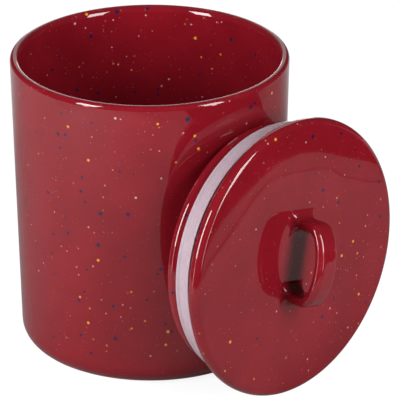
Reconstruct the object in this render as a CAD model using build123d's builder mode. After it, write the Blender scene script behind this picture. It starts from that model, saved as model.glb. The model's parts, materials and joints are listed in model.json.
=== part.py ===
from build123d import *
from math import asin, atan2, cos, hypot, radians, sin, sqrt, tan
import os

# A glazed stoneware storage jar with its lid taken off and leaning against it, in millimetres.
# The origin is the middle of the jar's foot on the table, +Z is up and +X points to the leaning lid.

# Jar
height = 158.0
rim_radius = 72.0
base_radius = 68.2
wall = 5.2
floor_thickness = 6.6
base_corner = 10.6
inner_corner = 9.0
ring_width = 7.0
ring_height = 1.4
ring_edge = 0.6

# Lid
lid_overhang = 1.0
lid_thickness = 6.1
lid_edge = 2.3
collar_clearance = 1.5
collar_wall = 7.0
collar_depth = 22.2
collar_edge = 2.0
hollow_corner = 4.0

# Groove and seal ring
groove_start = 6.2
groove_width = 8.2
groove_depth = 2.9
groove_edge = 0.7
seal_squeeze = 0.3
seal_edge = 1.1
seal_bead = 1.8
seal_waist = 0.45

# Strap handle
strap_width = 13.4
strap_thickness = 5.2
strap_edge = 2.0
handle_span = 44.0
handle_height = 22.3
leg_height = 11.0
foot_height = 4.8
flare_out = 4.8
flare_in = 6.0
flare_side = 2.0
foot_tip = 0.5
foot_corner = 1.2
foot_sections = 6
handle_spin = 13.0

# How the lid leans
lean = 1.7
lean_skew = -1.4
lean_gap = 0.3

# Jar sizes that follow from the ones above
rim_round = wall / 2
rim_x = rim_radius - rim_round
rim_z = height - rim_round
taper = atan2(rim_x - base_radius, rim_z) + asin(rim_round / hypot(rim_x - base_radius, rim_z))
mouth_radius = rim_radius - wall


def outer_wall(z):
    """Radius of the jar's outside at a height."""
    return base_radius + z * tan(taper)


def inner_wall(z):
    """Radius of the jar's inside at a height."""
    return outer_wall(z) - wall / cos(taper)


# Lid sizes that follow
lid_radius = rim_radius + lid_overhang
collar_radius = mouth_radius - collar_clearance
groove_radius = collar_radius - groove_depth
groove_end = groove_start + groove_width
hollow_radius = collar_radius - collar_wall
seal_radius = mouth_radius + seal_squeeze

# The lid's seat: the middle of the underside that rests on the rim when the jar is shut
tip = radians(lean)
turn = radians(lean_skew)
seat_z = (lid_radius - lid_edge) * cos(tip) - lid_edge * sin(tip) + lid_edge
lip_in = collar_depth - collar_edge
lip_out = collar_radius - collar_edge
touch_z = seat_z - lip_in * sin(tip) + lip_out * cos(tip)
touch_x = outer_wall(touch_z) + (collar_edge + lean_gap) / cos(taper)
seat_x = (touch_x + lip_in * cos(tip) + lip_out * sin(tip)) / cos(turn)
seat = Vector(seat_x, 0, seat_z)
lid_axis = Vector(cos(tip) * cos(turn), cos(tip) * sin(turn), sin(tip))
lid_up = Vector(-sin(tip) * cos(turn), -sin(tip) * sin(turn), cos(tip))
lid_side = lid_up.cross(lid_axis)

# In this plane x is the distance from the lid's axis and y runs along the axis, out of the top face
lid_section = Plane(origin=seat, x_dir=lid_up, z_dir=lid_side)
lid_turning = Axis(seat, lid_axis)

# The handle's arch stands in this plane, x along its span and y out of the lid's top face
spin = radians(handle_spin)
span_dir = lid_up * cos(spin) + lid_side * sin(spin)
handle_base = seat + lid_axis * lid_thickness
arch_plane = Plane(origin=handle_base, x_dir=span_dir, z_dir=span_dir.cross(lid_axis))

os.makedirs("parts", exist_ok=True)

# Jar body: one thin-walled pot with a full round rim and a low foot ring
with BuildPart() as jar_body:
    with BuildSketch(Plane.XZ) as pot:
        with BuildLine():
            rim_start = (rim_x + rim_round * cos(taper), rim_z - rim_round * sin(taper))
            rim_top = (rim_x + rim_round * sin(taper), rim_z + rim_round * cos(taper))
            rim_end = (rim_x - rim_round * cos(taper), rim_z + rim_round * sin(taper))
            foot_out = (base_radius, 0)
            foot_in = (base_radius - base_corner - ring_width, 0)
            recess = (foot_in[0], ring_height)
            well = (inner_wall(floor_thickness), floor_thickness)
            Line(foot_out, rim_start)
            ThreePointArc(rim_start, rim_top, rim_end)
            Polyline(rim_end, well, (0, well[1]), (0, ring_height), recess, foot_in, foot_out)
        make_face()
        fillet(pot.vertices().sort_by_distance(foot_out)[0], base_corner)
        fillet(pot.vertices().sort_by_distance(well)[0], inner_corner)
        chamfer(pot.vertices().sort_by_distance(foot_in)[0], ring_edge)
    revolve(axis=Axis.Z)
jar_body.part.label = "jar_body"
export_step(jar_body.part, "parts/jar_body.step")

# Lid: a flat disc over a hollow collar, with a groove for the seal between two lips
with BuildPart() as lid:
    with BuildSketch(lid_section) as disc:
        with BuildLine():
            Polyline(
                (0, lid_thickness),
                (lid_radius, lid_thickness),
                (lid_radius, 0),
                (collar_radius, 0),
                (collar_radius, -groove_start),
                (groove_radius, -groove_start),
                (groove_radius, -groove_end),
                (collar_radius, -groove_end),
                (collar_radius, -collar_depth),
                (hollow_radius, -collar_depth),
                (hollow_radius, 0),
                (0, 0),
                close=True,
            )
        make_face()
        for corner in ((lid_radius, lid_thickness), (lid_radius, 0)):
            fillet(disc.vertices().sort_by_distance(corner)[0], lid_edge)
        for corner in ((collar_radius, -collar_depth), (hollow_radius, -collar_depth)):
            fillet(disc.vertices().sort_by_distance(corner)[0], collar_edge)
        for corner in ((collar_radius, -groove_start), (collar_radius, -groove_end), (collar_radius, 0)):
            chamfer(disc.vertices().sort_by_distance(corner)[0], groove_edge)
        fillet(disc.vertices().sort_by_distance((hollow_radius, 0))[0], hollow_corner)
    revolve(axis=lid_turning)
lid.part.label = "lid"
export_step(lid.part, "parts/lid.step")

# Seal ring: a silicone band that fills the groove, with a bead along each edge and a waist between
with BuildPart() as seal_ring:
    with BuildSketch(lid_section) as band:
        with BuildLine():
            low = (seal_radius, -groove_end + seal_bead)
            high = (seal_radius, -groove_start - seal_bead)
            middle = (seal_radius - seal_waist, (low[1] + high[1]) / 2)
            ThreePointArc(low, middle, high)
            Polyline(
                high,
                (seal_radius, -groove_start),
                (groove_radius, -groove_start),
                (groove_radius, -groove_end),
                (seal_radius, -groove_end),
                low,
            )
        make_face()
        for corner in ((seal_radius, -groove_start), (seal_radius, -groove_end), low, high):
            fillet(band.vertices().sort_by_distance(corner)[0], seal_edge)
    revolve(axis=lid_turning)
seal_ring.part.label = "seal_ring"
export_step(seal_ring.part, "parts/seal_ring.step")

# Handle: a broad strap bent into an arch, whose feet flare out where they are joined to the lid
leg_x = (handle_span - strap_thickness) / 2
arch_rise = handle_height - strap_thickness / 2 - leg_height
with BuildPart() as lid_handle:
    with BuildLine(arch_plane) as arch:
        first_leg = Line((leg_x, foot_height), (leg_x, leg_height))
        EllipticalCenterArc((0, leg_height), leg_x, arch_rise, start_angle=0, arc_size=180)
        Line((-leg_x, leg_height), (-leg_x, foot_height))
    with BuildSketch(Plane(origin=first_leg @ 0, x_dir=span_dir, z_dir=lid_axis)):
        RectangleRounded(strap_thickness, strap_width, strap_edge)
    sweep(path=arch.wires()[0])
    for side in (-1, 1):
        for section in range(foot_sections):
            rise = foot_height * section / (foot_sections - 1)
            drop = 1 - max(rise, foot_tip) / foot_height
            flare = 1 - sqrt(1 - drop**2)
            middle_x = side * (leg_x + flare * (flare_out - flare_in) / 2)
            foot_middle = handle_base + span_dir * middle_x + lid_axis * rise
            foot_length = strap_thickness + flare * (flare_out + flare_in)
            foot_width = strap_width + flare * flare_side * 2
            corner = strap_edge + flare * (foot_corner - strap_edge)
            with BuildSketch(Plane(origin=foot_middle, x_dir=span_dir, z_dir=lid_axis)):
                RectangleRounded(foot_length, foot_width, corner)
        loft()
lid_handle.part.label = "lid_handle"
export_step(lid_handle.part, "parts/lid_handle.step")
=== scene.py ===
import json
import math

import bmesh
import bpy
from bpy.props import FloatProperty, FloatVectorProperty, IntProperty, PointerProperty
from mathutils import Matrix, Vector, noise
from mathutils.bvhtree import BVHTree


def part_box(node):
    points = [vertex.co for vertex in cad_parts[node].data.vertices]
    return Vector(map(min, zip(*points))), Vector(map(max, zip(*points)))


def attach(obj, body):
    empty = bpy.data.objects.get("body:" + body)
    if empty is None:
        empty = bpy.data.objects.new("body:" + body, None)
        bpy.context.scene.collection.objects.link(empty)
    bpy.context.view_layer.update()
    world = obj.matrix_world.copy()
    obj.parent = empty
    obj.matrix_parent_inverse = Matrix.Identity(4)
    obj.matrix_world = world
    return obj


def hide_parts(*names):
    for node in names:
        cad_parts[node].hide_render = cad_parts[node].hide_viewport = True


bl_info = {
    "name": "Speckled Storage Jar",
    "version": (1, 0, 0),
    "blender": (4, 5, 0),
    "location": "View3D > Sidebar > Storage Jar",
    "description": "Turns, glazes and lights a stoneware storage jar with its lid leaning against it",
    "category": "Add Mesh",
}

MM = 0.001
TURN = 2 * math.pi

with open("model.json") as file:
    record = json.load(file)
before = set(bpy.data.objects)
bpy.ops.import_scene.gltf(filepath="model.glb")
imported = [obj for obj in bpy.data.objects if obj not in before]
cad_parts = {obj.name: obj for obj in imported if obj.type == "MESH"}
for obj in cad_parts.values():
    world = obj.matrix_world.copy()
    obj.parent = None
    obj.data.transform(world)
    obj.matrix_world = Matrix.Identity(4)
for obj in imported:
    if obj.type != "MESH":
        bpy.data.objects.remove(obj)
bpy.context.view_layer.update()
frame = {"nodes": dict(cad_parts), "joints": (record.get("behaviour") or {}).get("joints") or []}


def reach(node, direction):
    """Lowest and highest reach of a CAD node's points along a direction."""
    along = [point.co.dot(direction) for point in frame["nodes"][node].data.vertices]
    return min(along), max(along)


# The jar stands on the origin, and the lid leans beside it with its axis along the way it lifts off
jar_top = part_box("jar_body")[1]
UP = Vector((0, 0, 1))
LID_OUT = Vector(frame["joints"][0]["axis"]).normalized()
LID_SIDE = UP.cross(LID_OUT).normalized()
LID_UP = LID_OUT.cross(LID_SIDE)
LID_FACE = (
    LID_OUT * reach("lid", LID_OUT)[1]
    + LID_SIDE * sum(reach("lid", LID_SIDE)) / 2
    + LID_UP * sum(reach("lid", LID_UP)) / 2
)


def number(label, about, value, **kind):
    """A number that a user can change."""
    return FloatProperty(name=label, description=about, default=value, **kind)


def size(label, about, value):
    """A length, written here in millimetres and kept in metres."""
    return number(label, about, value * MM, min=0, unit="LENGTH", subtype="DISTANCE")


def share(label, about, value):
    """A plain number between 0 and 1."""
    return number(label, about, value, min=0, max=1, subtype="FACTOR")


def degrees(label, about, value):
    """An angle, written here in degrees and kept in radians."""
    return number(label, about, math.radians(value), unit="ROTATION", subtype="ANGLE")


def watts(label, about, value):
    """A lamp's power."""
    return number(label, about, value, min=0, unit="POWER")


def colour(label, about, value):
    """A colour, written as a screen shows it from 0 to 255 and kept as light."""
    light = [((part / 255 + 0.055) / 1.055) ** 2.4 for part in value]
    return FloatVectorProperty(
        name=label, description=about, default=light, size=3, min=0, max=1, subtype="COLOR"
    )


class JarShape(bpy.types.PropertyGroup):
    """Sizes of the jar's body."""

    height: size("Height", "From the table to the top of the rim", jar_top.z / MM)
    rim_radius: size("Rim radius", "Outer radius at the rim", jar_top.x / MM)
    base_radius: size("Base radius", "Outer radius that the wall would have on the table", 68.2)
    wall: size("Wall", "Thickness of the wall, which ends in a full round rim", 5.2)
    floor: size("Floor", "Height of the inside floor over the table", 6.6)
    base_corner: size("Base corner", "Radius of the outer corner at the base", 10.6)
    inner_corner: size("Inner corner", "Radius between the wall and the floor inside", 9.0)
    ring_width: size("Foot ring width", "Width of the flat ring that the jar stands on", 7.0)
    ring_height: size("Foot ring height", "How deep the base is hollowed inside the foot ring", 1.4)
    ring_edge: size("Foot ring edge", "Radius of the foot ring's inner edge", 0.6)
    rim_edge: size("Rim edge", "Radius of the rim's outer edge", 2.4)
    rim_dip: size("Rim dip", "How much lower the rim is on the side of the camera", 0.8)
    lip_top: size("Lip top", "Radius at the top of the mouth's edge", 1.6)
    lip_side: size("Lip side", "Radius where the mouth's edge runs down into the inside", 4.2)
    lip_slope: degrees("Lip slope", "Slope of the mouth's edge between its two radii", 49)


class LidShape(bpy.types.PropertyGroup):
    """Sizes of the lid and its seal ring."""

    radius: size("Radius", "Outer radius of the lid's disc", 73.0)
    thickness: size("Thickness", "Thickness of the lid's disc", 6.1)
    edge: size("Edge", "Radius of the disc's edge towards the jar", 1.8)
    crown: size("Crown", "Radius of the disc's edge towards the handle", 3.4)
    collar_radius: size("Collar radius", "Outer radius of the collar under the disc", 65.3)
    collar_depth: size("Collar depth", "How far the collar reaches below the disc", 22.2)
    collar_wall: size("Collar wall", "Thickness of the collar", 7.0)
    collar_edge: size("Collar edge", "Radius of the collar's rim", 1.8)
    lip_drop: size("Lip drop", "How far the collar's lip falls away towards the groove", 2.3)
    lip_fall: size("Lip fall", "Length over which the lip falls away", 4.3)
    lip_round: size("Lip round", "Radius of the lip's crest", 3.4)
    hollow_corner: size("Hollow corner", "Radius between the collar and the disc inside", 4.0)
    groove_start: size("Groove start", "From the disc down to the groove", 5.5)
    groove_width: size("Groove width", "Width of the groove for the seal", 8.9)
    groove_depth: size("Groove depth", "Depth of the groove for the seal", 2.9)
    groove_edge: size("Groove edge", "Radius of the lips beside the groove", 0.7)
    seal_radius: size("Seal radius", "Outer radius of the seal ring", 67.1)
    seal_edge: size("Seal edge", "Radius of the seal ring's outer edges", 1.1)
    seal_bead: size("Seal bead", "Width of the bead along each edge of the seal ring", 1.8)
    seal_waist: size("Seal waist", "How far the seal ring is drawn in between its beads", 0.45)


class HandleShape(bpy.types.PropertyGroup):
    """Sizes of the strap handle."""

    width: size("Width", "Width of the strap", 13.4)
    thickness: size("Thickness", "Thickness of the strap", 5.2)
    edge: size("Edge", "Radius of the strap's edges towards the lid", 2.0)
    crown: size("Crown", "Radius of the strap's edges away from the lid", 3.0)
    span: size("Span", "From one leg's outer side to the other's", 44.0)
    height: size("Height", "From the lid's face to the top of the arch", 22.3)
    leg: size("Leg", "Height of the straight legs under the arch", 11.0)
    foot: size("Foot", "Height over which a foot flares out", 4.8)
    flare_out: size("Flare out", "How far a foot flares away from the arch", 4.8)
    flare_in: size("Flare in", "How far a foot flares under the arch", 6.0)
    flare_side: size("Flare side", "How far a foot flares to each side", 2.0)
    foot_corner: size("Foot corner", "Radius of a foot's corners on the lid", 1.2)
    spin: degrees("Spin", "How far the handle is turned about the lid's axis", 13)


class Finish(bpy.types.PropertyGroup):
    """Colours and surface of the glaze and the seal."""

    glaze: colour("Glaze", "Colour of the red glaze", (136, 22, 34))
    glaze_deep: colour("Deep glaze", "Colour where the glaze lies thicker", (118, 16, 27))
    blue: colour("Blue specks", "Colour of the blue specks", (14, 28, 66))
    gold: colour("Gold specks", "Colour of the gold specks", (232, 150, 52))
    pale: colour("Pale specks", "Colour of the pale specks", (218, 172, 170))
    clay: colour("Clay", "Colour of the bare clay on the foot ring", (176, 148, 122))
    silicone: colour("Silicone", "Colour of the seal ring", (194, 173, 184))
    gloss: share("Glaze roughness", "Roughness of the glaze", 0.025)
    ripple: size("Ripple", "Height of the slow waves in the glazed surfaces", 0.04)


class Studio(bpy.types.PropertyGroup):
    """Lamps, floor and camera."""

    left_lamp: watts("Left lamp", "Power of the left softbox", 5.75)
    right_lamp: watts("Right lamp", "Power of the right softbox", 4.4)
    low_lamps: watts("Low lamps", "Power of each strip under a softbox", 0.5)
    back_lamp: watts("Back lamp", "Power of the softbox behind the jar", 2.7)
    rim_lamp: watts("Rim lamp", "Power of the low lamp behind the jar", 1.5)
    fill: share("Fill", "Brightness of the room's own light", 0.05)
    floor_grey: share("Floor grey", "How pale the table is beside the jar", 0.41)
    # Painted light: the table is painted paler towards the back and the left, standing in for light that
    # falls there
    painted_light_far: share("Far grey", "How much paler the table is towards the back and the left", 0.36)
    floor_level: share("Floor level", "How far the table is lifted to white beside the jar", 0.85)
    floor_behind: share("Floor behind", "How brightly the table glows far behind the jar", 0.5)
    camera_turn: degrees("Camera turn", "Direction of the camera about the jar", 43.73)
    camera_rise: degrees("Camera rise", "Height of the camera over the horizon", 23.78)
    lens: number("Lens", "Focal length on a 36 mm sensor", 345.3, min=1, unit="CAMERA")


class StorageJar(bpy.types.PropertyGroup):
    """Everything that can be set on the jar."""

    jar: PointerProperty(type=JarShape)
    lid: PointerProperty(type=LidShape)
    handle: PointerProperty(type=HandleShape)
    finish: PointerProperty(type=Finish)
    studio: PointerProperty(type=Studio)
    steps: IntProperty(
        name="Steps", description="Steps around each turned piece", default=288, min=24, max=720
    )


def chosen():
    """The jar's settings in this scene."""
    return bpy.context.scene.storage_jar


def placed(name, data):
    """A new object in the scene for a mesh, a lamp or a camera."""
    made = bpy.data.objects.new(name, data)
    bpy.context.scene.collection.objects.link(made)
    return made


# Outlines

ARC_STEP = math.radians(9)
MERGE = 0.001 * MM
GUARD = 0.1 * MM
LONGEST_RUN = 5 * MM


def rounded(corners):
    """Points along an open outline of (x, y, radius) corners, whose first and last corners are its ends.

    Each radius becomes an arc, with a guard point beside it that keeps the next straight run flat.
    """
    spots = [Vector(corner[:2]) for corner in corners]
    points = [spots[0]]
    for index in range(1, len(corners) - 1):
        here, radius = spots[index], corners[index][2]
        back = (spots[index - 1] - here).normalized()
        ahead = (spots[index + 1] - here).normalized()
        half = back.angle(ahead) / 2
        setback = radius / math.tan(half)
        centre = here + (back + ahead).normalized() * (radius / math.sin(half))
        start = here + back * setback
        sweep = math.pi - 2 * half
        turning = math.copysign(1, back.cross(ahead))
        steps = max(4, math.ceil(sweep / ARC_STEP))
        points.append(start + back * GUARD)
        for step in range(steps + 1):
            angle = -turning * sweep * step / steps
            points.append(centre + Matrix.Rotation(angle, 2) @ (start - centre))
        points.append(here + ahead * (setback + GUARD))
    points.append(spots[-1])
    return points


def divided(points):
    """The same outline with its long straight runs cut into even shorter ones."""
    result = [points[0]]
    for start, end in zip(points, points[1:]):
        pieces = max(1, math.ceil((end - start).length / LONGEST_RUN))
        result += [start.lerp(end, piece / pieces) for piece in range(1, pieces + 1)]
    return result


def jar_outline(jar):
    """Outline of the jar's wall: out under the base, up the outside, over the rim and down inside."""
    rim_round = jar.wall / 2
    rim_x = jar.rim_radius - rim_round
    rim_z = jar.height - rim_round
    slope = math.hypot(rim_x - jar.base_radius, rim_z)
    taper = math.atan2(rim_x - jar.base_radius, rim_z) + math.asin(rim_round / slope)
    wall_up = Vector((math.sin(taper), math.cos(taper)))
    wall_out = Vector((math.cos(taper), -math.sin(taper)))
    rim = Vector((rim_x, rim_z)) + wall_up * rim_round
    inner_foot = jar.base_radius + jar.floor * math.tan(taper) - jar.wall / math.cos(taper)
    ring_inside = jar.base_radius - jar.base_corner - jar.ring_width
    edge_side = rim_round - jar.rim_edge - GUARD * 2
    mouth_edge = rim + wall_out * (edge_side - jar.lip_top * math.tan(math.pi / 4 - jar.lip_slope / 2))
    run = (mouth_edge - rim + wall_out * rim_round).length / math.sin(jar.lip_slope)
    mouth_side = rim - wall_out * rim_round - wall_up * run * math.cos(jar.lip_slope)
    return rounded([
        (0, jar.ring_height, 0),
        (ring_inside, jar.ring_height, jar.ring_edge),
        (ring_inside, 0, jar.ring_edge),
        (jar.base_radius, 0, jar.base_corner),
        (*(rim + wall_out * rim_round), jar.rim_edge),
        (*mouth_edge, jar.lip_top),
        (*mouth_side, jar.lip_side),
        (inner_foot, jar.floor, jar.inner_corner),
        (0, jar.floor, 0),
    ])


def lid_outline(lid):
    """Outline of the lid: out over the face, round the edge, down the collar and up inside it."""
    groove_end = lid.groove_start + lid.groove_width
    groove_radius = lid.collar_radius - lid.groove_depth
    hollow = lid.collar_radius - lid.collar_wall
    return rounded([
        (0, lid.thickness, 0),
        (lid.radius, lid.thickness, lid.crown),
        (lid.radius, 0, lid.edge),
        (lid.collar_radius, 0, lid.groove_edge),
        (lid.collar_radius, -lid.groove_start, lid.groove_edge),
        (groove_radius, -lid.groove_start, lid.groove_edge / 2),
        (groove_radius, -groove_end, lid.groove_edge / 2),
        (lid.collar_radius - lid.lip_drop, -groove_end, lid.groove_edge / 3),
        (lid.collar_radius, -groove_end - lid.lip_fall, lid.lip_round),
        (lid.collar_radius, -lid.collar_depth, lid.collar_edge),
        (hollow, -lid.collar_depth, lid.collar_edge),
        (hollow, 0, lid.hollow_corner),
        (0, 0, 0),
    ])


def seal_outline(lid):
    """Outline of the seal ring, closed: a band with a bead along each edge and a waist between."""
    groove_end = lid.groove_start + lid.groove_width
    groove_radius = lid.collar_radius - lid.groove_depth
    low = -groove_end + lid.seal_bead
    high = -lid.groove_start - lid.seal_bead
    waist = lid.seal_radius - lid.seal_waist
    soft = lid.seal_bead / 2
    middle = -lid.groove_start - lid.groove_width / 2
    return rounded([
        (groove_radius, middle, 0),
        (groove_radius, -groove_end, GUARD),
        (lid.seal_radius, -groove_end, lid.seal_edge),
        (lid.seal_radius, low, soft),
        (waist, low + lid.seal_bead / 2, soft),
        (waist, high - lid.seal_bead / 2, soft),
        (lid.seal_radius, high, soft),
        (lid.seal_radius, -lid.groove_start, lid.seal_edge / 3),
        (groove_radius, -lid.groove_start, GUARD),
        (groove_radius, middle, 0),
    ])


# Node maths


class Value:
    """A node's output. Python's operators on it add Math nodes."""

    def __init__(self, nodes, socket):
        self.nodes = nodes
        self.socket = socket

    def maths(self, operation, *others, clamp=False):
        settings = {"operation": operation, "use_clamp": clamp}
        return self.nodes.add("ShaderNodeMath", settings, dict(enumerate((self, *others))))

    def __add__(self, other):
        return self.maths("ADD", other)

    def __sub__(self, other):
        return self.maths("SUBTRACT", other)

    def __mul__(self, other):
        return self.maths("MULTIPLY", other)

    def __truediv__(self, other):
        return self.maths("DIVIDE", other)

    def __pow__(self, other):
        return self.maths("POWER", other)

    def __lt__(self, other):
        return self.maths("LESS_THAN", other)

    def __rsub__(self, other):
        return self.nodes.add("ShaderNodeMath", {"operation": "SUBTRACT"}, {0: other, 1: self})

    __radd__ = __add__
    __rmul__ = __mul__

    def held(self):
        """The same value held between 0 and 1."""
        return self.maths("ADD", 0, clamp=True)

    def sharper(self, contrast):
        """The same value with more contrast about its middle, held between 0 and 1."""
        return (self * contrast + (1 - contrast) / 2).held()


class Nodes:
    """A node tree, with one method that adds any node."""

    def __init__(self, tree):
        self.tree = tree
        tree.nodes.clear()

    def add(self, kind, settings=None, inputs=None, output=0):
        """Adds a node: its settings first, then its sockets' values or links. Returns one output."""
        made = self.tree.nodes.new(kind)
        for name, value in (settings or {}).items():
            setattr(made, name, value)
        for name, value in (inputs or {}).items():
            if isinstance(value, Value):
                self.tree.links.new(value.socket, made.inputs[name])
            else:
                made.inputs[name].default_value = value
        return Value(self, made.outputs[output]) if made.outputs else made

    def outputs(self, kind, inputs):
        """Adds a node that needs no settings and returns all its outputs."""
        first = self.add(kind, {}, inputs)
        return [Value(self, socket) for socket in first.socket.node.outputs]

    def here(self):
        """Object coordinates."""
        return self.add("ShaderNodeTexCoord", output="Object")

    def place(self, shift=(0, 0, 0)):
        """Object coordinates, shifted so that two patterns don't fall together."""
        return self.add("ShaderNodeMapping", {}, {"Vector": self.here(), "Location": shift})

    def vectors(self, operation, first, second):
        """The number that an operation on two vectors gives."""
        settings = {"operation": operation}
        return self.add("ShaderNodeVectorMath", settings, {0: first, 1: second}, output="Value")

    def mix(self, factor, first, second):
        """Two colours mixed by a factor."""
        settings = {"data_type": "RGBA", "blend_type": "MIX"}
        made = self.add("ShaderNodeMix", settings, {"Factor": factor}, output=2)
        node = made.socket.node
        for socket, value in ((node.inputs[6], first), (node.inputs[7], second)):
            if isinstance(value, Value):
                self.tree.links.new(value.socket, socket)
            else:
                socket.default_value = (*value, 1)
        return made

    def waves(self, length, detail=2, shift=(0, 0, 0)):
        """Soft noise between 0 and 1 with waves of a given length."""
        inputs = {"Vector": self.place(shift), "Scale": 1 / length, "Detail": detail}
        return self.add("ShaderNodeTexNoise", {"noise_dimensions": "3D"}, inputs, output="Fac")

    def specks(self, spacing, count, smallest, largest, shift, swell=1):
        """A mask of round specks at random places, and a random number for each speck's tint.

        Count is the share of the cells that hold a speck, and sizes are radii, which swell multiplies.
        """
        inputs = {"Vector": self.place(shift), "Scale": 1 / spacing, "Randomness": 1}
        settings = {"voronoi_dimensions": "3D", "feature": "F1"}
        distance = self.add("ShaderNodeTexVoronoi", settings, inputs, output="Distance")
        cell = Value(self, distance.socket.node.outputs["Color"])
        chance, bigness, tint = self.outputs("ShaderNodeSeparateColor", {"Color": cell})
        radius = (smallest + (largest - smallest) * bigness**3) * swell
        mask = ((radius - distance * spacing) / SPECK_BLUR + 0.5).held()
        return mask * (chance < count), tint

    def spots(self, places):
        """A mask of round specks at given (centre, radius) places."""
        here = self.here()
        nearest = None
        for centre, radius in places:
            beyond = self.vectors("DISTANCE", here, centre) - radius
            nearest = beyond if nearest is None else nearest.maths("MINIMUM", beyond)
        return (0.5 - nearest / SPECK_BLUR).held()

    def surface(self, inputs):
        """Ends a material with one Principled shader."""
        shader = self.add("ShaderNodeBsdfPrincipled", {}, inputs)
        self.add("ShaderNodeOutputMaterial", {}, {"Surface": shader})


# Turned pieces, by Geometry Nodes


def turning_tree():
    """The node group that turns an outline of mesh edges about the vertical axis."""
    tree = bpy.data.node_groups.new("Turned outline", "GeometryNodeTree")
    for name, side, kind in (
        ("Outline", "INPUT", "Geometry"),
        ("Steps around", "INPUT", "Int"),
        ("Merge distance", "INPUT", "Float"),
        ("Finish", "INPUT", "Material"),
        ("Turned", "OUTPUT", "Geometry"),
    ):
        tree.interface.new_socket(name, in_out=side, socket_type="NodeSocket" + kind)
    nodes = Nodes(tree)
    outline, steps, merge, finish = nodes.outputs("NodeGroupInput", {})[:4]
    domain = {"component": "MESH"}
    count = nodes.add("GeometryNodeAttributeDomainSize", domain, {"Geometry": outline}, "Point Count")
    grid = {"Size X": 1, "Size Y": 1, "Vertices X": steps + 1, "Vertices Y": count}
    sheet = nodes.add("GeometryNodeMeshGrid", {}, grid)
    spot = nodes.add("GeometryNodeInputPosition")
    along, up, _ = nodes.outputs("ShaderNodeSeparateXYZ", {"Vector": spot})
    row = (up + 0.5) * (count - 1)
    sample = nodes.add(
        "GeometryNodeSampleIndex",
        {"data_type": "FLOAT_VECTOR", "domain": "POINT"},
        {"Geometry": outline, "Value": spot, "Index": row.maths("ROUND")},
    )
    radius, _, height = nodes.outputs("ShaderNodeSeparateXYZ", {"Vector": sample})
    heading = along * TURN
    x = radius * heading.maths("COSINE")
    y = radius * heading.maths("SINE")
    moved = nodes.add("ShaderNodeCombineXYZ", {}, {"X": x, "Y": y, "Z": height})
    skin = nodes.add("GeometryNodeSetPosition", {}, {"Geometry": sheet, "Position": moved})
    skin = nodes.add("GeometryNodeMergeByDistance", {}, {"Geometry": skin, "Distance": merge})
    skin = nodes.add("GeometryNodeSetShadeSmooth", {}, {"Geometry": skin})
    skin = nodes.add("GeometryNodeRealizeInstances", {}, {"Geometry": skin})
    skin = nodes.add("GeometryNodeSetMaterial", {}, {"Geometry": skin, "Material": finish})
    nodes.add("NodeGroupOutput", {}, {"Turned": skin})
    return tree


def plain_material(name):
    """A material whose nodes are still to be set."""
    material = bpy.data.materials.new(name)
    material.use_nodes = True
    return material


def turned(name, outline, finish):
    """A mesh object turned from an outline of (radius, height) points, with a new material on it."""
    edges = bpy.data.meshes.new(name + "_outline")
    points = [(point.x, 0, point.y) for point in divided(outline)]
    edges.from_pydata(points, [(i, i + 1) for i in range(len(points) - 1)], [])
    source = placed(name + "_outline", edges)
    tree = bpy.data.node_groups.get("Turned outline") or turning_tree()
    modifier = source.modifiers.new("Turned outline", "NODES")
    modifier.node_group = tree
    material = plain_material(finish)
    values = {"Steps around": chosen().steps, "Merge distance": MERGE, "Finish": material}
    for item in tree.interface.items_tree:
        if item.name in values:
            modifier[item.identifier] = values[item.name]
    graph = bpy.context.evaluated_depsgraph_get()
    mesh = bpy.data.meshes.new_from_object(source.evaluated_get(graph))
    bpy.data.objects.remove(source)
    mesh.name = name
    mesh.materials.clear()
    mesh.materials.append(material)
    return finished(name, mesh)


def finished(name, mesh):
    """An object for a mesh, with doubles merged and every face turned outwards."""
    build = bmesh.new()
    build.from_mesh(mesh)
    bmesh.ops.remove_doubles(build, verts=build.verts, dist=MERGE)
    bmesh.ops.recalc_face_normals(build, faces=build.faces)
    build.to_mesh(mesh)
    build.free()
    mesh.shade_smooth()
    return placed(name, mesh)


def mark_photo_side(piece):
    """Marks the points that face the camera, where the specks follow the photograph."""
    eye = camera_matrix().translation
    mesh = piece.data
    mark = mesh.attributes.new(PHOTO_SIDE, "FLOAT", "POINT")
    for point, entry in zip(mesh.vertices, mark.data):
        entry.value = 1.0 if point.normal.dot(eye - point.co) > 0 else 0.0


def rippled(piece, height, length, seed):
    """Moves the piece's points inwards by slow waves, as a fired and glazed surface has them."""
    mesh = piece.data
    offset = Vector((seed, seed * 2, seed * 3))
    normals = [point.normal.copy() for point in mesh.vertices]
    for point, normal in zip(mesh.vertices, normals):
        point.co += normal * height * (noise.noise(point.co / length + offset) - 1) / 2


JAR_WAVES = 40 * MM
LID_WAVES = 30 * MM
LID_RIPPLE = 0.5
JAR_SEED = 3.1
LID_SEED = 7.7
DIP_START = 0.8


def dipped(piece, jar, turn):
    """Lowers the rim on the side of the camera, as a pot's rim is seldom quite level."""
    away = Vector((-math.sin(turn), math.cos(turn), 0))
    for point in piece.data.vertices:
        up = max(0, point.co.z / jar.height - DIP_START) / (1 - DIP_START)
        near = 0.5 - point.co.dot(away) / jar.rim_radius / 2
        point.co.z -= jar.rim_dip * near * up * up


def lid_place():
    """The matrix that puts a piece turned about the vertical axis on the lid's own axis."""
    turn = Matrix((LID_UP, -LID_SIDE, LID_OUT)).transposed().to_4x4()
    return Matrix.Translation(LID_FACE - LID_OUT * chosen().lid.thickness) @ turn


# Strap handle

CORNER_STEPS = 8
SIDE_STEPS = 3
ARCH_STEPS = 72
FOOT_STEPS = 14
LEG_STEPS = 4
FOOT_SINK = 0.15 * MM


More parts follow.
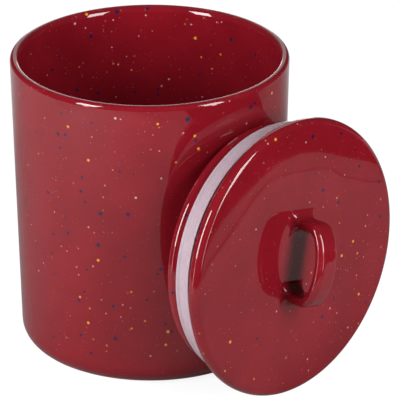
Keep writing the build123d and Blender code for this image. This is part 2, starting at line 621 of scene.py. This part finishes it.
def strap_section(thick, wide, inner, outer):
    """Points round a section of the strap: x is out of the arch and y across the strap."""
    corners = [
        (thick / 2, -wide / 2, outer, -90),
        (thick / 2, wide / 2, outer, 0),
        (-thick / 2, wide / 2, inner, 90),
        (-thick / 2, -wide / 2, inner, 180),
    ]
    points = []
    for x, y, radius, start in corners:
        centre = Vector((x - math.copysign(radius, x), y - math.copysign(radius, y)))
        for step in range(CORNER_STEPS + 1):
            angle = math.radians(start + 90 * step / CORNER_STEPS)
            points.append(centre + radius * Vector((math.cos(angle), math.sin(angle))))
    result = []
    for index, point in enumerate(points):
        result.append(point)
        following = points[(index + 1) % len(points)]
        if index % (CORNER_STEPS + 1) == CORNER_STEPS:
            result += [point.lerp(following, step / (SIDE_STEPS + 1)) for step in range(1, SIDE_STEPS + 1)]
    return result


def strap_stations(shape):
    """Sections along the strap from one foot to the other, as (middle, outward, points).

    Middle and outward are in the arch's plane, with x along the span and y out of the lid's face.
    """
    leg_x = (shape.span - shape.thickness) / 2
    rise = shape.height - shape.thickness / 2 - shape.leg
    plain = strap_section(shape.thickness, shape.width, shape.edge, shape.crown)
    foot = []
    for step in range(FOOT_STEPS + 1):
        height = shape.foot * (step / FOOT_STEPS) ** 2
        drop = 1 - height / shape.foot
        flare = 1 - math.sqrt(1 - drop**2)
        thick = shape.thickness + flare * (shape.flare_out + shape.flare_in)
        wide = shape.width + 2 * flare * shape.flare_side
        inner = shape.edge + flare * (shape.foot_corner - shape.edge)
        outer = shape.crown + flare * (shape.foot_corner - shape.crown)
        middle = leg_x + flare * (shape.flare_out - shape.flare_in) / 2
        sunk = height if step else -FOOT_SINK
        foot.append((middle, sunk, strap_section(thick, wide, inner, outer)))
    leg = [
        (leg_x, shape.foot + (shape.leg - shape.foot) * step / LEG_STEPS, plain)
        for step in range(1, LEG_STEPS)
    ]
    stations = [(Vector((x, y)), Vector((1, 0)), points) for x, y, points in foot + leg]
    for step in range(ARCH_STEPS + 1):
        angle = math.pi * step / ARCH_STEPS
        middle = Vector((leg_x * math.cos(angle), shape.leg + rise * math.sin(angle)))
        outward = Vector((rise * math.cos(angle), leg_x * math.sin(angle))).normalized()
        stations.append((middle, outward, plain))
    for x, y, points in reversed(foot + leg):
        stations.append((Vector((-x, y)), Vector((-1, 0)), points))
    return stations


def strap_mesh(shape):
    """The strap's mesh on the lid's face: its sections bridged, and closed under both feet."""
    span = LID_UP * math.cos(shape.spin) + LID_SIDE * math.sin(shape.spin)
    across = span.cross(LID_OUT)
    build = bmesh.new()
    rings = []
    for middle, outward, points in strap_stations(shape):
        base = LID_FACE + span * middle.x + LID_OUT * middle.y
        out = span * outward.x + LID_OUT * outward.y
        rings.append([build.verts.new(base + out * point.x + across * point.y) for point in points])
    for ring, following in zip(rings, rings[1:]):
        for index in range(len(ring)):
            after = (index + 1) % len(ring)
            build.faces.new((ring[index], ring[after], following[after], following[index]))
    build.faces.new(rings[0])
    build.faces.new(rings[-1])
    mesh = bpy.data.meshes.new("strap_handle")
    build.to_mesh(mesh)
    build.free()
    return mesh


# Glaze and seal

MOTTLE_WAVES = 22 * MM
MOTTLE_CONTRAST = 1.6
DUST_SPACING = 2.1 * MM
DUST_SHARE = 0.6
DUST_SIZES = (0.12 * MM, 0.3 * MM)
DUST_SHIFT = (0.3, 0.1, 0.7)
DUST_FAINTEST = 0.12
DUST_RANGE = 0.28
SPECK_SPACING = 4.3 * MM
SPECK_SMALLEST = 0.22 * MM
SPECK_FAINTEST = 0.3
SPECK_RANGE = 0.65
SPECK_BLUR = 0.25 * MM
PHOTO_SIDE = "photo_side"
BOLD = 0.92
FAINT = 0.62
BOLD_FROM = 0.6 * MM
SPECK_SPREAD = {"blue": 1.16, "gold": 0.95, "pale": 1.0}
BARE_HEIGHT = 0.35 * MM
BARE_BLUR = 0.3 * MM
BARE_ROUGHNESS = 0.7
BARE_WAVES = 3 * MM
GLOSS_WAVES = 9 * MM
GLOSS_RANGE = 0.02
PEEL_WAVES = 6 * MM
PEEL = 0.6
GRAIN_WAVES = 1.2 * MM
GRAIN = 0.05
PEEL_STRENGTH = 0.12
PEEL_DEPTH = 0.03 * MM
STREAK_WAVES = 3 * MM
STREAK_CONTRAST = 1.5
STREAK_SHADE = 0.86

# Away from the camera the random specks are fewer, larger and stronger, as none are listed there
UNSEEN_FEWER = 0.3
UNSEEN_LARGER = 0.7
UNSEEN_STRONGER = 0.25
SEEN_STRENGTH = 0.35


def glaze(material, seen, bare_foot=False):
    """The speckled red glaze. Seen lists the given specks, as (kind, centre, radius)."""
    look = chosen().finish
    nodes = Nodes(material.node_tree)
    mottle = nodes.waves(MOTTLE_WAVES, 3).sharper(MOTTLE_CONTRAST)
    skin = nodes.mix(mottle, look.glaze_deep, look.glaze)
    dust, dust_tint = nodes.specks(DUST_SPACING, DUST_SHARE, *DUST_SIZES, DUST_SHIFT)
    skin = nodes.mix(dust * (DUST_FAINTEST + DUST_RANGE * dust_tint), skin, look.pale)
    unseen = 1 - nodes.add("ShaderNodeAttribute", {"attribute_name": PHOTO_SIDE}, output="Fac")
    for kind, count, largest, shift in (
        ("blue", 0.36, 0.85 * MM, (0.11, 0.52, 0.93)),
        ("gold", 0.3, 0.7 * MM, (0.71, 0.22, 0.43)),
        ("pale", 0.3, 0.5 * MM, (0.36, 0.87, 0.19)),
    ):
        shade = getattr(look, kind)
        share_here = count * (1 - UNSEEN_FEWER * unseen)
        swell = 1 + UNSEEN_LARGER * unseen
        mask, tint = nodes.specks(SPECK_SPACING, share_here, SPECK_SMALLEST, largest, shift, swell)
        boldness = (SPECK_FAINTEST + SPECK_RANGE * tint + UNSEEN_STRONGER * unseen).held()
        boldness = boldness * (SEEN_STRENGTH + (1 - SEEN_STRENGTH) * unseen)
        skin = nodes.mix(mask * boldness, skin, shade)
        for strength, least, most in ((BOLD, BOLD_FROM, 1), (FAINT, 0, BOLD_FROM)):
            places = [spot[1:] for spot in seen if spot[0] == kind and least <= spot[2] < most]
            if places:
                skin = nodes.mix(nodes.spots(places) * strength, skin, shade)
    rough = look.gloss + GLOSS_RANGE * nodes.waves(GLOSS_WAVES)
    if bare_foot:
        low = nodes.add("ShaderNodeSeparateXYZ", {}, {0: nodes.here()}, output="Z")
        bare = ((BARE_HEIGHT - low) / BARE_BLUR + nodes.waves(BARE_WAVES)).held()
        skin = nodes.mix(bare, skin, look.clay)
        rough = (rough + bare * BARE_ROUGHNESS).held()
    peel = nodes.waves(PEEL_WAVES, 1) * PEEL + nodes.waves(GRAIN_WAVES, 1) * GRAIN
    depth = {"Height": peel, "Strength": PEEL_STRENGTH, "Distance": PEEL_DEPTH}
    bump = nodes.add("ShaderNodeBump", {}, depth)
    nodes.surface({"Base Color": skin, "Roughness": rough, "IOR": 1.5, "Normal": bump})


def silicone(material):
    """The milky seal ring: soft, slightly translucent, with faint streaks along the band."""
    look = chosen().finish
    nodes = Nodes(material.node_tree)
    streak = nodes.waves(STREAK_WAVES, 3).sharper(STREAK_CONTRAST)
    darker = [part * STREAK_SHADE for part in look.silicone]
    skin = nodes.mix(streak, darker, look.silicone)
    nodes.surface({
        "Base Color": skin,
        "Roughness": 0.32,
        "IOR": 1.42,
        "Subsurface Weight": 0.35,
        "Subsurface Radius": (1.0, 0.6, 0.6),
        "Subsurface Scale": 2.0 * MM,
    })


# Specks seen in the photograph, listed one by one: x and y in its 400 x 400 pixels and the width in
# millimetres
PHOTO_SIZE = 400
BLUE_SEEN = (
    # inside the jar
    (117, 11.8, 1.9), (147.5, 8.5, 1.5), (91, 36.5, 1.8), (77, 89.8, 1.6), (52, 70, 1.6), (231, 39.5, 1.7),
    (255.5, 54.5, 1.3), (135, 92, 1.2), (158, 89, 1.2), (158, 95, 1.1), (200, 74, 1.2), (98, 93.5, 1.3),
    (268.5, 54.5, 1), (264.5, 62, 1), (258, 62.5, 0.9), (59, 57, 1.1), (127.5, 42.5, 0.9), (183, 54.5, 0.9),
    # the jar's wall
    (187.8, 119.3, 2.3), (250.8, 107.2, 1.9), (255, 103.3, 1.2), (195.8, 140.3, 1.4), (58, 133.8, 1.7),
    (65, 134.8, 1.5), (35.5, 132.5, 1.2), (61.3, 113.2, 1.1), (60, 147.7, 1.2), (48, 192.2, 1.7),
    (80.7, 191.2, 1.5), (82, 177.5, 1.2), (85, 202, 1.2), (100.5, 213.8, 1.9), (128, 214.3, 1.8),
    (119.5, 171.5, 1.1), (134, 173.5, 1), (65, 217.8, 1), (53, 234, 1.2), (67.8, 233, 1.3),
    (36, 245.5, 1.1), (43.5, 253, 1), (52.3, 253.3, 1.2), (98, 245, 1.8), (54.3, 273.7, 1.1),
    (87, 269.5, 1.1), (84.3, 292, 1.1), (79, 300.2, 1.5), (113.3, 306.3, 1.4), (124.5, 256.8, 1.2),
    (119.8, 261.5, 1), (161, 269.3, 1.5), (157.5, 274, 1.1), (123.5, 273.5, 1), (147, 300, 1.1),
    (54, 337, 1.1), (80.8, 335, 1.4), (91, 353, 1.3), (115.3, 338.5, 1.8), (165.3, 324, 1.1),
    (171.5, 331.5, 1.4), (26.5, 199, 1.2), (91.5, 123, 1.1),
    # the lid and its handle
    (186, 215.5, 1.4), (172.8, 292.8, 1.5), (313, 136.8, 1.9), (341.5, 133.3, 1.5), (323, 190.3, 1.6),
    (338.5, 202.3, 1.5), (359.3, 166.2, 1.5), (379, 182, 1.5), (380, 216.5, 1.4), (322, 316.8, 1.6),
    (333.5, 298.5, 1.2), (257, 338.5, 1.2), (366, 302.5, 1.1), (355.5, 149.5, 1), (306.5, 174.5, 1),
    (315.3, 174.5, 1), (374.5, 196, 0.9), (349.3, 209, 0.9), (343, 231, 0.8), (349, 254.5, 0.8),
    (352, 289, 0.8), (312, 303, 1.1), (230, 383, 1),
)
GOLD_SEEN = (
    (86.7, 14.3, 1.7), (195.3, 38.2, 1.7), (220.5, 54.5, 1.2), (201.3, 57.2, 1.2), (212, 68.7, 1),
    (113.3, 63.7, 1.1), (131.5, 70, 1), (79.2, 67, 1), (272, 93, 1.6), (68, 126.7, 1.4), (88.3, 160.2, 1.5),
    (44.7, 118, 0.9), (38.5, 153.5, 0.9), (103, 210.3, 0.6), (157.7, 124, 1.3), (159, 127.5, 0.7),
    (152.8, 135, 0.7), (194.8, 136, 1.5), (198.4, 148.6, 1.5), (176, 162.3, 1.2), (150.8, 149.5, 0.7),
    (98.2, 260.3, 1.6), (76.5, 267, 1), (80, 297, 1.3), (89.8, 308.4, 1.1), (101.5, 299.8, 0.9),
    (94.2, 232.8, 0.8), (35.5, 240.7, 0.7), (131.3, 292, 1.2), (130.5, 308, 0.7), (88.3, 322.8, 1.6),
    (106.8, 345.5, 1.1), (106.5, 351.3, 0.8), (66.5, 337.5, 0.9), (131.8, 328.5, 1.1), (145, 321, 1.1),
    (168, 331.7, 1.7), (165.8, 344.8, 1.3), (275.7, 139.5, 1.6), (336.8, 198, 1.1), (265.5, 140.5, 0.8),
    (297.5, 124, 0.9), (353, 241.3, 1.5), (341.7, 255.7, 1.6), (357.3, 253.3, 1.2), (311.2, 272.8, 1.1),
    (356.5, 275.3, 1), (358.7, 294, 1.5), (339.5, 223, 0.9), (358.3, 323.5, 0.9), (230.2, 342, 1.7),
    (203.5, 353.5, 1), (225, 371, 1.2), (254, 379, 1.2), (290, 311, 0.7),
)
PALE_SEEN = (
    (75, 23.7, 1.3), (145.8, 15.3, 1), (118.2, 64.5, 1), (113.2, 20, 0.9), (85.5, 28, 0.9),
    (111.8, 47.3, 0.8), (168.8, 79.2, 1), (161.6, 86, 1.1), (191.3, 24.5, 0.9), (216.8, 22.3, 0.8),
    (221.5, 22, 0.8), (31, 54, 0.8), (47.3, 75.2, 0.8), (138.7, 36, 0.7), (126.5, 56.5, 0.6),
    (116, 97, 0.7), (202.2, 97, 0.8), (229.5, 101, 0.8), (115.3, 118.3, 1.2), (120.5, 119.3, 0.8),
    (246.5, 123.5, 0.9), (91.8, 137, 0.7), (28.5, 165, 0.7), (54.5, 212, 0.8), (104.8, 185.5, 0.8),
    (103.2, 197.2, 0.7), (112.7, 170, 0.7), (159.3, 151, 0.8), (183.3, 133, 0.9), (135.8, 197.8, 1.2),
    (161.2, 178.5, 1), (88.5, 227.2, 1), (93, 266.3, 1), (38.8, 270.7, 0.9), (61.3, 246.3, 0.7),
    (67, 251.2, 0.7), (78.3, 248.5, 0.7), (43.5, 263, 0.7), (78.7, 274.7, 0.8), (122.7, 304.8, 0.8),
    (120.8, 317, 0.7), (150.5, 356, 1), (106, 313.5, 0.8), (31.3, 224.5, 0.7), (268, 143.8, 1),
    (306, 142.3, 0.9), (325.5, 157, 0.8), (344.5, 175, 0.7), (309.8, 202.3, 0.8), (365.5, 226, 0.9),
    (367.5, 215, 0.7), (306.3, 284, 0.8), (256, 229.5, 0.9), (330, 308.3, 1), (336.8, 313, 0.8),
    (347.8, 327.5, 1), (307.5, 359.3, 1), (308.5, 370.5, 0.8), (276.5, 311.5, 1), (363.5, 257, 0.6),
    (323.2, 207, 0.6),
)
SEEN = {"blue": BLUE_SEEN, "gold": GOLD_SEEN, "pale": PALE_SEEN}


# Camera and studio

CAMERA_DISTANCE = 2.0061
AIM_HEIGHT = 0.0751
AIM_ASIDE = 0.0257
CAMERA_ROLL = math.radians(-0.156)
SENSOR = 36


def towards(turn, rise):
    """The direction at an angle about the jar and an angle over the horizon."""
    return Vector((math.sin(turn) * math.cos(rise), -math.cos(turn) * math.cos(rise), math.sin(rise)))


def looking(place, direction):
    """The matrix of a camera or a lamp at a place, which looks in a direction."""
    return Matrix.Translation(place) @ direction.to_track_quat("-Z", "Y").to_matrix().to_4x4()


def camera_matrix():
    """Place and turn of the camera, which looks at a point a little to the right of the jar's axis."""
    turn, rise = chosen().studio.camera_turn, chosen().studio.camera_rise
    right = Vector((math.cos(turn), math.sin(turn), 0))
    target = UP * AIM_HEIGHT
    place = target + towards(turn, rise) * CAMERA_DISTANCE
    look = target + right * AIM_ASIDE - place
    return looking(place, look) @ Matrix.Rotation(CAMERA_ROLL, 4, "Z")


def photo_ray(x, y):
    """Start and direction of the line of sight through a pixel of the photograph."""
    matrix = camera_matrix()
    half = SENSOR / 2 / chosen().studio.lens
    across = (x / PHOTO_SIZE * 2 - 1) * half
    down = (y / PHOTO_SIZE * 2 - 1) * half
    direction = matrix.to_3x3() @ Vector((across, -down, -1))
    return matrix.translation, direction.normalized()


def mirrored_on_table(x, y):
    """The spot on the table that the lid's face mirrors at a pixel of the photograph."""
    start, direction = photo_ray(x, y)
    mirror = start + direction * ((LID_FACE - start).dot(LID_OUT) / direction.dot(LID_OUT))
    onward = direction - LID_OUT * (2 * direction.dot(LID_OUT))
    spot = mirror - onward * (mirror.z / onward.z)
    return Vector((spot.x, spot.y))


def add_softbox(name, turn, rise, distance, sides, power):
    """A rectangular lamp that faces the object from a direction about the camera's own."""
    lamp = bpy.data.lights.new(name, "AREA")
    lamp.shape = "RECTANGLE"
    lamp.size, lamp.size_y = sides
    lamp.energy = power
    out = towards(turn, rise)
    holder = placed(name, lamp)
    holder.matrix_world = looking(UP * AIM_HEIGHT + out * distance, -out)
    holder.visible_camera = False


def floor_material(name, grey, far):
    """A matt floor that the camera sees as white, with a faint shadow left close to the jar.

    It is painted paler by far towards the back and the left, which is painted light on the table, and glows
    a little far behind the jar.
    """
    studio = chosen().studio
    material = plain_material(name)
    nodes = Nodes(material.node_tree)
    here = nodes.here()
    turn = Matrix.Rotation(studio.camera_turn, 3, "Z")
    # Painted light: how far the table has grown paler, from the front and right towards the back and the
    # left
    painted_light_share = (nodes.vectors("DISTANCE", here, turn @ Vector(PAINTED_LIGHT_START)) / PAINTED_LIGHT_REACH).held()
    beside = nodes.vectors("DISTANCE", here, SHADOW_MIDDLE)
    lifted = ((beside - SHADOW_REACH) / SHADOW_FADE).held()
    away = nodes.vectors("DOT_PRODUCT", here, turn @ Vector((0, 1, 0)))
    behind = ((away - BEHIND_START) / BEHIND_REACH).held()
    seen = nodes.add("ShaderNodeLightPath", output="Is Camera Ray")
    shade = grey + far * painted_light_share * painted_light_share
    shade = shade + seen * (SEEN_SHADE - shade)
    surface = {"Base Color": shade, "Roughness": 1, "Specular IOR Level": 0}
    matt = nodes.add("ShaderNodeBsdfPrincipled", {}, surface)
    glow = nodes.add("ShaderNodeEmission", {}, {"Color": WHITE, "Strength": SEEN_GLOW})
    level = studio.floor_level + (1 - studio.floor_level) * lifted
    level = seen * level + (1 - seen) * behind * studio.floor_behind
    mixed = nodes.add("ShaderNodeMixShader", {}, {0: level, 1: matt, 2: glow})
    nodes.add("ShaderNodeOutputMaterial", {}, {"Surface": mixed})
    return material


SOFTBOX_TURN = math.radians(50)
SOFTBOX_RISE = math.radians(25)
SOFTBOX_DISTANCE = 0.75
SOFTBOX_SIDES = (0.21, 0.46)
LOW_RISE = math.radians(-2)
LOW_SIDES = (0.06, 0.27)
BACK_RISE = math.radians(24)
BACK_DISTANCE = 1.4
BACK_SIDES = (0.8, 1.1)
RIM_RISE = math.radians(8)
RIM_SIDES = (0.55, 0.36)

# The table's edge in millimetres to the camera's right and away from it, in front and far behind.
# Between the two, the table's edge and the seam of its cover lie where the lid's face mirrors them,
# read in the photograph's 400 x 400 pixels. The rest of the cover is a little smaller.
NEAR_EDGE = (
    (-520, 150), (-440, -35), (-400, -130), (-345, -250), (-265, -350), (-140, -415), (5, -425),
    (140, -395), (225, -300), (250, -180),
)
FAR_EDGE = ((400, 60), (520, 300), (1400, 900), (1400, 2600), (-1400, 2600), (-1400, 900))
COVER_SHARE = 0.93
EDGE_MIRRORED = (
    (208, 250), (213, 237), (220, 225), (230, 212), (240, 200), (260, 180), (280, 163), (300, 154),
    (320, 152), (340, 156), (370, 162), (378, 165),
)
SEAM_MIRRORED = (
    (202, 280), (210, 262), (224, 243), (236, 225), (253, 200), (270, 181), (290, 174), (310, 170),
    (322, 168), (333, 170), (345, 177), (370, 182),
)
WHITE = (1, 1, 1, 1)
SEEN_SHADE = 0.9
SEEN_GLOW = 1.05
# Painted shade: the seam between the table and its cover is a dark strip standing in for the shade in that
# gap
SEAM_SHADE_GREY = 0.08
# Painted shade: the near-black ground stands in for the unlit room beyond the table
GROUND_SHADE_GREY = 0.03
COVER_RISE = 0.05 * MM
BORDER_SHADE = 0.78
SEAM_WIDTH = 1.6 * MM
SEAM_RISE = 0.1 * MM
GROUND_DROP = 0.25
GROUND_SIZE = 8
SHADOW_MIDDLE = (45 * MM, 0, 0)
SHADOW_REACH = 38 * MM
SHADOW_FADE = 28 * MM
# Where the table's painted light starts, and how far off it is full
PAINTED_LIGHT_START = (150 * MM, -150 * MM, 0)
PAINTED_LIGHT_REACH = 600 * MM
BEHIND_START = 210 * MM
BEHIND_REACH = 260 * MM


def flat_object(name, points, faces, material):
    """A flat piece of the studio, with its place in the mesh."""
    mesh = bpy.data.meshes.new(name)
    mesh.from_pydata(points, [], faces)
    mesh.materials.append(material)
    return placed(name, mesh)


def table_outline(part, mirrored):
    """A part of the table's edge in front and far behind, and between them what the lid mirrors."""
    turn = Matrix.Rotation(chosen().studio.camera_turn, 2)
    near = [turn @ Vector(point) * MM * part for point in NEAR_EDGE]
    far = [turn @ Vector(point) * MM * part for point in FAR_EDGE]
    return near + [mirrored_on_table(x, y) for x, y in mirrored] + far


def studio_floor():
    """The pale table, the cover on it with a dark strip of painted shade as its seam, and a near-black
    ground below as painted shade for the unlit room, as four objects.
    """
    studio = chosen().studio
    edge = table_outline(1, EDGE_MIRRORED)
    cover = table_outline(COVER_SHARE, SEAM_MIRRORED)
    # Both carry the painted light that makes the table paler towards the back and the left
    border = floor_material("table_border", studio.floor_grey * BORDER_SHADE, studio.painted_light_far)
    pale = floor_material("pale_cover", studio.floor_grey, studio.painted_light_far)
    # Painted shade: a dark strip for the shaded gap of the seam
    seam_shade = floor_material("dark_seam", SEAM_SHADE_GREY, 0)
    # Painted shade: a near-black ground for the unlit room beyond the table
    dark = floor_material("dark_ground", GROUND_SHADE_GREY, 0)
    strip = []
    for index, point in enumerate(cover):
        along = cover[(index + 1) % len(cover)] - cover[index - 1]
        aside = Vector((-along.y, along.x)).normalized() * SEAM_WIDTH / 2
        strip += [(*(point - aside), SEAM_RISE), (*(point + aside), SEAM_RISE)]
    count = len(strip)
    seam = [(i, (i + 2) % count, (i + 3) % count, i + 1) for i in range(0, count, 2)]
    half = GROUND_SIZE / 2
    ground = [(x * half, y * half, -GROUND_DROP) for x, y in ((-1, -1), (1, -1), (1, 1), (-1, 1))]
    return (
        flat_object("studio_table", [(*point, 0) for point in edge], [tuple(range(len(edge)))], border),
        flat_object("studio_cover", [(*p, COVER_RISE) for p in cover], [tuple(range(len(cover)))], pale),
        flat_object("studio_seam", strip, seam, seam_shade),
        flat_object("studio_ground", ground, [(0, 1, 2, 3)], dark),
    )


def set_world():
    """White behind the object, and a dim even light for everything else."""
    world = bpy.data.worlds.new("studio_room")
    world.use_nodes = True
    nodes = Nodes(world.node_tree)
    seen = nodes.add("ShaderNodeLightPath", output="Is Camera Ray")
    dim = nodes.add("ShaderNodeBackground", {}, {"Color": WHITE, "Strength": chosen().studio.fill})
    white = nodes.add("ShaderNodeBackground", {}, {"Color": WHITE, "Strength": 1})
    sky = nodes.add("ShaderNodeMixShader", {}, {0: seen, 1: dim, 2: white})
    nodes.add("ShaderNodeOutputWorld", {}, {"Surface": sky})
    bpy.context.scene.world = world


class STORAGE_JAR_OT_body(bpy.types.Operator):
    """Turn the jar's body"""

    bl_idname = "storage_jar.body"
    bl_label = "Jar Body"

    def execute(self, context):
        piece = turned("jar_pot", jar_outline(chosen().jar), "glaze_jar_pot")
        dipped(piece, chosen().jar, chosen().studio.camera_turn)
        rippled(piece, chosen().finish.ripple, JAR_WAVES, JAR_SEED)
        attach(piece, "jar")
        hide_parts("jar_body")
        return {"FINISHED"}


class STORAGE_JAR_OT_lid(bpy.types.Operator):
    """Turn the lid and lean it against the jar"""

    bl_idname = "storage_jar.lid"
    bl_label = "Lid"

    def execute(self, context):
        piece = turned("lid_disc", lid_outline(chosen().lid), "glaze_lid_disc")
        piece.data.transform(lid_place())
        rippled(piece, chosen().finish.ripple * LID_RIPPLE, LID_WAVES, LID_SEED)
        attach(piece, "lid_set")
        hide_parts("lid")
        return {"FINISHED"}


class STORAGE_JAR_OT_seal(bpy.types.Operator):
    """Turn the seal ring into the lid's groove"""

    bl_idname = "storage_jar.seal"
    bl_label = "Seal Ring"

    def execute(self, context):
        piece = turned("seal_band", seal_outline(chosen().lid), "milky_silicone")
        silicone(piece.data.materials[0])
        piece.data.transform(lid_place())
        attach(piece, "lid_set")
        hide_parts("seal_ring")
        return {"FINISHED"}


class STORAGE_JAR_OT_handle(bpy.types.Operator):
    """Bend the strap handle and set it on the lid"""

    bl_idname = "storage_jar.handle"
    bl_label = "Strap Handle"

    def execute(self, context):
        piece = finished("strap_handle", strap_mesh(chosen().handle))
        piece.data.materials.append(plain_material("glaze_strap_handle"))
        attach(piece, "lid_set")
        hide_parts("lid_handle")
        return {"FINISHED"}


class STORAGE_JAR_OT_glaze(bpy.types.Operator):
    """Glaze the jar, the lid and the handle, with the seen specks where the photograph has them"""

    bl_idname = "storage_jar.glaze"
    bl_label = "Speckled Glaze"

    def execute(self, context):
        pieces = [bpy.data.objects[name] for name in ("jar_pot", "lid_disc", "strap_handle")]
        trees = {
            piece.name: BVHTree.FromPolygons(
                [point.co for point in piece.data.vertices],
                [face.vertices for face in piece.data.polygons],
            )
            for piece in pieces
        }
        found = {piece.name: [] for piece in pieces}
        for kind, spots in SEEN.items():
            for x, y, width in spots:
                start, direction = photo_ray(x, y)
                hits = [(tree.ray_cast(start, direction), name) for name, tree in trees.items()]
                hits = [(hit[3], hit[0], name) for hit, name in hits if hit[0] is not None]
                if not hits:
                    raise ValueError(f"no glazed piece lies behind the {kind} speck at {x}, {y}")
                _, place, name = min(hits, key=lambda hit: hit[0])
                found[name].append((kind, place, width * SPECK_SPREAD[kind] * MM / 2))
        for piece in pieces:
            mark_photo_side(piece)
            glaze(piece.data.materials[0], found[piece.name], piece.name == "jar_pot")
        return {"FINISHED"}


class STORAGE_JAR_OT_studio(bpy.types.Operator):
    """Set up the floor, the lamps, the room and the camera"""

    bl_idname = "storage_jar.studio"
    bl_label = "Studio"

    def execute(self, context):
        studio = chosen().studio
        for piece in studio_floor():
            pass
        left, right = studio.camera_turn - SOFTBOX_TURN, studio.camera_turn + SOFTBOX_TURN
        behind = studio.camera_turn + math.pi
        near, far = SOFTBOX_DISTANCE, BACK_DISTANCE
        for name, turn, rise, distance, sides, power in (
            ("left", left, SOFTBOX_RISE, near, SOFTBOX_SIDES, studio.left_lamp),
            ("right", right, SOFTBOX_RISE, near, SOFTBOX_SIDES, studio.right_lamp),
            ("left_low", left, LOW_RISE, near, LOW_SIDES, studio.low_lamps),
            ("right_low", right, LOW_RISE, near, LOW_SIDES, studio.low_lamps),
            ("back", behind, BACK_RISE, far, BACK_SIDES, studio.back_lamp),
            ("back_low", behind, RIM_RISE, far, RIM_SIDES, studio.rim_lamp),
        ):
            add_softbox("softbox_" + name, turn, rise, distance, sides, power)
        set_world()
        camera = placed("photo_camera", bpy.data.cameras.new("photo_camera"))
        camera.data.sensor_width = SENSOR
        camera.data.lens = studio.lens
        camera.matrix_world = camera_matrix()
        context.scene.camera = camera
        context.scene.view_settings.view_transform = "Standard"
        return {"FINISHED"}


class STORAGE_JAR_PT_panel(bpy.types.Panel):
    """Buttons and sizes of the storage jar"""

    bl_label = "Storage Jar"
    bl_idname = "STORAGE_JAR_PT_panel"
    bl_space_type = "VIEW_3D"
    bl_region_type = "UI"
    bl_category = "Storage Jar"

    def draw(self, context):
        for operator in OPERATORS:
            self.layout.operator(operator.bl_idname)
        whole = chosen()
        for group in (whole.jar, whole.lid, whole.handle, whole.finish, whole.studio):
            box = self.layout.box()
            for name in group.__annotations__:
                box.prop(group, name)


OPERATORS = (
    STORAGE_JAR_OT_body,
    STORAGE_JAR_OT_lid,
    STORAGE_JAR_OT_seal,
    STORAGE_JAR_OT_handle,
    STORAGE_JAR_OT_glaze,
    STORAGE_JAR_OT_studio,
)
GROUPS = (JarShape, LidShape, HandleShape, Finish, Studio, StorageJar)
CLASSES = (*GROUPS, *OPERATORS, STORAGE_JAR_PT_panel)


def register():
    for kind in CLASSES:
        bpy.utils.register_class(kind)
    bpy.types.Scene.storage_jar = PointerProperty(type=StorageJar)


def unregister():
    del bpy.types.Scene.storage_jar
    for kind in reversed(CLASSES):
        bpy.utils.unregister_class(kind)


def main():
    """Builds every piece and the studio."""
    register()
    for operator in OPERATORS:
        family, name = operator.bl_idname.split(".")
        getattr(getattr(bpy.ops, family), name)()


if __name__ == "__main__":
    main()
